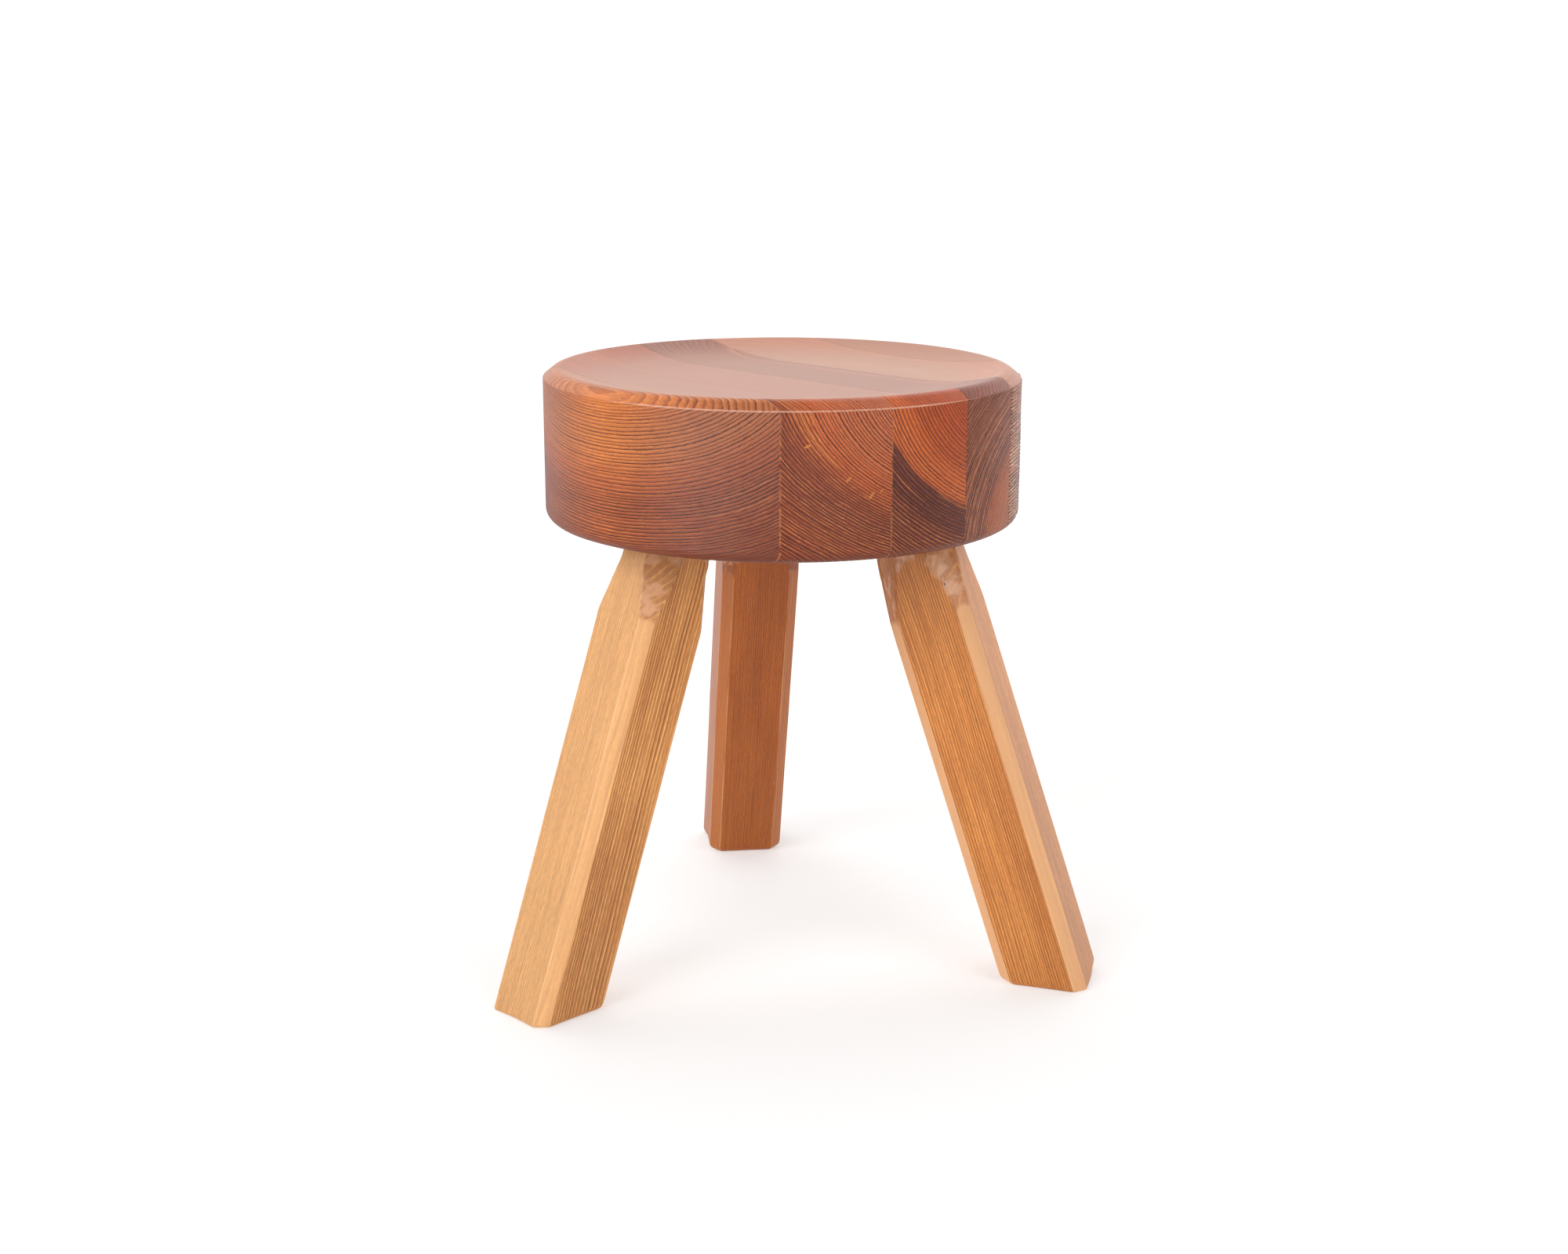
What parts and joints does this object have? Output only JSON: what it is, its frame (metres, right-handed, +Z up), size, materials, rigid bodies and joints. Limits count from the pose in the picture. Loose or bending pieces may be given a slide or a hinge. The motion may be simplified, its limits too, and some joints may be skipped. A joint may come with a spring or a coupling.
{
  "type": "milking stool",
  "caption": "Low three-legged wooden stool with a thick, round, dished seat on splayed square legs.",
  "frame": {"origin": "on the floor, under the middle of the stool's bounding box", "axes": "+Z up, +Y towards the back leg, +X to the right as seen from the two front legs' side"},
  "size_m": [0.3878, 0.3632, 0.384],
  "materials": {
    "seat_wood": "dark red-brown stained softwood with raised growth rings, satin lacquer",
    "leg_wood": "honey-coloured stained softwood, satin lacquer"
  },
  "bodies": {
    "root": {"seat_board_1": "seat_wood", "seat_board_2": "seat_wood", "seat_board_3": "seat_wood", "seat_board_4": "seat_wood", "seat_board_5": "seat_wood", "seat_board_6": "seat_wood", "leg_front_left": "leg_wood", "leg_front_right": "leg_wood", "leg_back": "leg_wood"}
  },
  "joints": []
}
